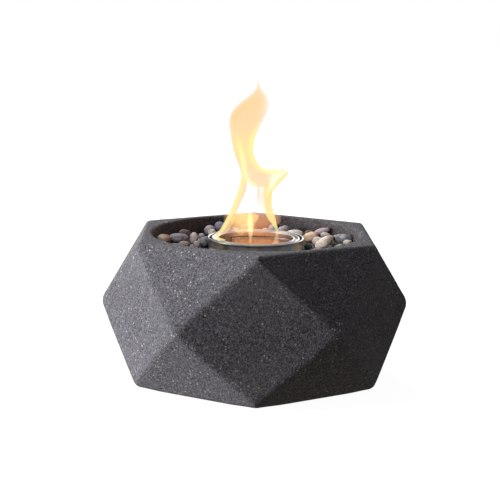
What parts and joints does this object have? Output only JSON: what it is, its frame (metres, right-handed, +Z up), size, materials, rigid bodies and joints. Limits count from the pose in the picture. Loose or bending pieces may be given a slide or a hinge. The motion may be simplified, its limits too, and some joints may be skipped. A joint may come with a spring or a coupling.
{
  "type": "tabletop fire bowl",
  "caption": "Faceted cast-stone tabletop fire bowl with a pebble tray round a lift-out steel burner cup that holds a standard gel fuel can.",
  "frame": {"origin": "on the table under the middle of the bowl, at the underside of the foot pads", "axes": "+Z up; +X towards a corner of the waist, the widest way across; -Y is the front, towards a corner of the rim"},
  "size_m": [0.3028, 0.2642, 0.142],
  "materials": {
    "cast_stone": "matte",
    "pad_rubber": "matte",
    "burner_steel": "polished",
    "can_steel": "satin",
    "gel": "gloss",
    "pebble_slate": "satin",
    "pebble_grey": "satin",
    "pebble_tan": "satin",
    "pebble_cream": "satin",
    "pebble_plum": "satin",
    "pebble_olive": "satin",
    "pebble_brown": "satin",
    "pebble_mauve": "satin"
  },
  "bodies": {
    "bowl": {"bowl_shell": "cast_stone", "foot_pads": "pad_rubber", "pebble_tan_left": "pebble_tan", "pebble_slate_left": "pebble_slate", "pebble_plum_left_back": "pebble_plum", "pebble_speckled_left": "pebble_cream", "pebble_mauve_left": "pebble_mauve", "pebble_violet_back_left": "pebble_slate", "pebble_white_left": "pebble_cream", "pebble_pale_green_left": "pebble_olive", "pebble_cream_left_front": "pebble_cream", "pebble_pink_left_front": "pebble_mauve", "pebble_blue_beside_burner": "pebble_slate", "pebble_brown_back": "pebble_brown", "pebble_olive_right": "pebble_olive", "pebble_dark_plum_right": "pebble_plum", "pebble_tan_right": "pebble_tan", "pebble_pink_right_back": "pebble_mauve", "pebble_grey_white_right": "pebble_grey", "pebble_lilac_right": "pebble_mauve", "pebble_beige_right": "pebble_cream", "pebble_grey_right": "pebble_grey", "pebble_cream_right": "pebble_cream", "pebble_dark_green_right": "pebble_olive", "pebbles_top_brown": "pebble_brown", "pebbles_top_cream": "pebble_cream", "pebbles_top_grey": "pebble_grey", "pebbles_top_mauve": "pebble_mauve", "pebbles_top_olive": "pebble_olive", "pebbles_top_plum": "pebble_plum", "pebbles_top_slate": "pebble_slate", "pebbles_top_tan": "pebble_tan", "pebbles_under_brown": "pebble_brown", "pebbles_under_grey": "pebble_grey", "pebbles_under_slate": "pebble_slate", "pebbles_under_tan": "pebble_tan"},
    "burner": {"burner_cup": "burner_steel"},
    "fuel_can": {"can_body": "can_steel", "can_base": "can_steel", "can_top_ring": "can_steel", "gel_fuel": "gel"}
  },
  "joints": [
    {"name": "burner_lift", "type": "slide", "parent": "bowl", "child": "burner", "axis": [0, 0, 1], "range_m": [0, 0.115]},
    {"name": "fuel_can_lift", "type": "slide", "parent": "burner", "child": "fuel_can", "axis": [0, 0, 1], "range_m": [0, 0.105]}
  ]
}
